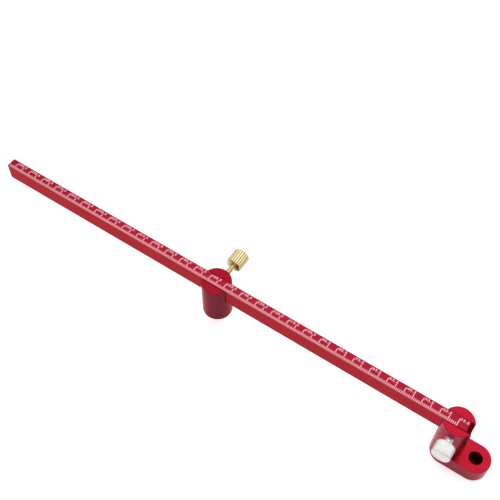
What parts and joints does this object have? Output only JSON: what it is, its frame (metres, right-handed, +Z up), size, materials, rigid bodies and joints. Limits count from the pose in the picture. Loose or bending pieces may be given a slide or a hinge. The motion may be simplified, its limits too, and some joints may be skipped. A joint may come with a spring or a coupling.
{
  "type": "beam compass scriber",
  "caption": "Woodworking beam compass: a graduated flat beam with a sliding pivot block on a steel point and a pen holder, each locked by a thumb screw.",
  "frame": {"origin": "on the surface that the tool stands on, in the middle of the pen holder's underside, below the column's axis", "axes": "+X along the beam from the pivot block towards the pen hole, +Z up, so +Y is the brass screw's side"},
  "size_m": [0.3183, 0.0443, 0.0384],
  "materials": {
    "red_anodised_aluminium": "red anodised, satin",
    "hardened_steel": "ground",
    "turned_brass": "turned, straight knurl",
    "nickel_plated_steel": "bright plated, straight knurl",
    "natural_nylon": "natural"
  },
  "bodies": {
    "beam": {"beam": "red_anodised_aluminium"},
    "pivot_block": {"pivot_block": "red_anodised_aluminium", "pivot_needle": "hardened_steel"},
    "pivot_clamp_pad": {"pivot_clamp_pad": "natural_nylon"},
    "pivot_thumb_screw": {"pivot_thumb_screw": "turned_brass"},
    "pen_holder": {"pen_holder": "red_anodised_aluminium"},
    "pen_holder_clamp_pad": {"pen_holder_clamp_pad": "natural_nylon"},
    "pen_holder_thumb_screw": {"pen_holder_thumb_screw": "nickel_plated_steel"}
  },
  "joints": [
    {"name": "pivot_block_slide", "type": "slide", "parent": "beam", "child": "pivot_block", "axis": [1, 0, 0], "range_m": [-0.1404, 0.1286]},
    {"name": "pen_holder_slide", "type": "slide", "parent": "beam", "child": "pen_holder", "axis": [1, 0, 0], "range_m": [0, 0.012]},
    {"name": "pivot_screw_advance", "type": "slide", "parent": "pivot_block", "child": "pivot_clamp_pad", "axis": [0, 1, 0], "range_m": [0, 0.0015]},
    {"name": "pivot_screw_turn", "type": "hinge", "parent": "pivot_clamp_pad", "child": "pivot_thumb_screw", "pos_m": [-0.1459, 0, 0.0327], "axis": [0, 1, 0], "range_deg": [0, 1080]},
    {"name": "holder_screw_advance", "type": "slide", "parent": "pen_holder", "child": "pen_holder_clamp_pad", "axis": [0, -1, 0], "range_m": [0, 0.0021]},
    {"name": "holder_screw_turn", "type": "hinge", "parent": "pen_holder_clamp_pad", "child": "pen_holder_thumb_screw", "pos_m": [0, 0, 0.0327], "axis": [0, -1, 0], "range_deg": [0, 1080]}
  ],
  "couplings": [
    {"joint": "pivot_screw_turn", "follows": "pivot_screw_advance", "rad_per_m": 12566},
    {"joint": "holder_screw_turn", "follows": "holder_screw_advance", "rad_per_m": 8976}
  ]
}
